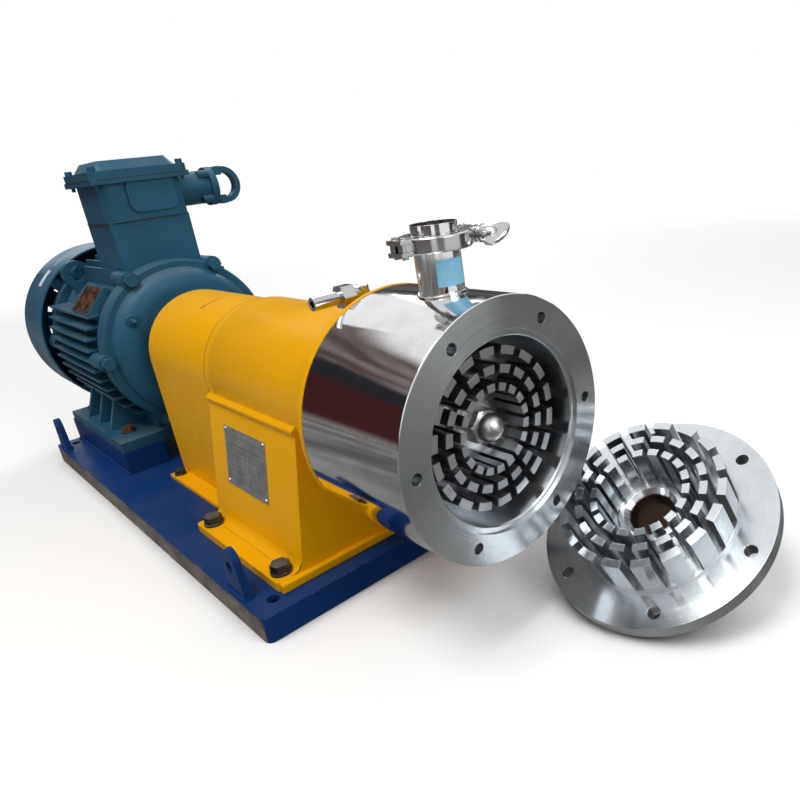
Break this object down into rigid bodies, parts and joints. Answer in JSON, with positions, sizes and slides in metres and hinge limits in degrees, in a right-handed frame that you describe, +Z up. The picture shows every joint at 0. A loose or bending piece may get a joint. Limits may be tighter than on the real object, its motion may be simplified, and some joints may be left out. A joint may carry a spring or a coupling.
{
  "type": "inline homogenizing pump",
  "caption": "Motor-driven inline homogenizing pump on a folded base plate, with toothed rotor in an open casing, clamped outlet, coupling guard and its stator cover lying beside it.",
  "frame": {"origin": "centre of the base plate's underside, on the floor", "axes": "+X along the shaft from the motor to the pump's inlet, -Y the side with the pump's nameplate, +Z up"},
  "size_m": [1.2261, 0.4058, 0.454],
  "materials": {
    "blue_paint": "satin",
    "teal_paint": "satin",
    "yellow_paint": "semi gloss",
    "polished_steel": "polished",
    "machined_steel": "machined",
    "black_steel": "black oxide",
    "bearing_steel": "ground",
    "core_steel": "laminated",
    "copper": null,
    "hub_iron": "rough",
    "seal_ring": null,
    "soft_seal": "smooth",
    "spider_rubber": "smooth",
    "dark_plastic": "moulded",
    "plate_metal": "etched",
    "motor_plate": "etched"
  },
  "bodies": {
    "base": {"base_frame": "blue_paint", "base_ribs": "blue_paint", "lifting_plates": "blue_paint", "motor_pads": "blue_paint", "motor_frame": "teal_paint", "motor_end_shield": "teal_paint", "motor_rear_shield": "teal_paint", "end_shield_bolts": "teal_paint", "fan_cowl": "teal_paint", "terminal_box": "teal_paint", "terminal_lid": "teal_paint", "cable_gland": "teal_paint", "gland_clamp": "teal_paint", "gland_bolts": "teal_paint", "lifting_eye": "teal_paint", "coupling_guard": "yellow_paint", "bearing_pedestal": "yellow_paint", "pump_casing": "polished_steel", "outlet_pipe": "polished_steel", "outlet_stub": "polished_steel", "clamp_front_half": "polished_steel", "clamp_rear_half": "polished_steel", "clamp_hinge": "polished_steel", "clamp_pivot_pin": "polished_steel", "flush_fitting": "polished_steel", "flush_nipple": "polished_steel", "seal_housing": "machined_steel", "lid_screws": "machined_steel", "pedestal_bolts": "black_steel", "guard_bolts": "black_steel", "motor_foot_bolts": "black_steel", "motor_bearing_outers": "bearing_steel", "pump_bearing_outers": "bearing_steel", "bearing_covers": "bearing_steel", "stator_core": "core_steel", "stator_windings": "copper", "seal_seat": "seal_ring", "outlet_gasket": "soft_seal", "terminal_block": "dark_plastic", "pump_nameplate": "plate_metal", "nameplate_rivets": "plate_metal", "motor_nameplate": "motor_plate"},
    "shaft_train": {"pump_shaft": "machined_steel", "rotor": "machined_steel", "rotor_key": "machined_steel", "rotor_nut": "machined_steel", "seal_rotary": "machined_steel", "pump_bearing_inners": "bearing_steel", "pump_hub": "hub_iron", "coupling_spider": "spider_rubber", "motor_hub": "hub_iron", "motor_shaft": "machined_steel", "motor_rotor": "core_steel", "motor_bearing_inners": "bearing_steel", "cooling_fan": "dark_plastic"},
    "cover": {"stator_cover": "machined_steel", "inlet_pipe": "machined_steel"},
    "clamp_bolt": {"swing_bolt": "polished_steel"},
    "washer": {"clamp_washer": "polished_steel"},
    "wing": {"wing_nut": "polished_steel"}
  },
  "joints": [
    {"name": "shaft_spin", "type": "hinge", "parent": "base", "child": "shaft_train", "pos_m": [0, 0, 0.195], "axis": [1, 0, 0], "continuous": true},
    {"name": "cover_lift", "type": "slide", "parent": "base", "child": "cover", "axis": [0.6002, 0.5002, 0.6242], "range_m": [0, 0.25]},
    {"name": "bolt_swing", "type": "hinge", "parent": "base", "child": "clamp_bolt", "pos_m": [0.4881, 0.038, 0.3488], "axis": [0, 0, 1], "range_deg": [0, 70]},
    {"name": "washer_slide", "type": "slide", "parent": "clamp_bolt", "child": "washer", "axis": [1, 0, 0], "range_m": [0, 0.005]},
    {"name": "wing_spin", "type": "hinge", "parent": "washer", "child": "wing", "pos_m": [0.5221, 0.038, 0.3488], "axis": [1, 0, 0], "range_deg": [0, 1441]}
  ],
  "couplings": [
    {"joint": "wing_spin", "follows": "washer_slide", "rad_per_m": 5026.5}
  ]
}
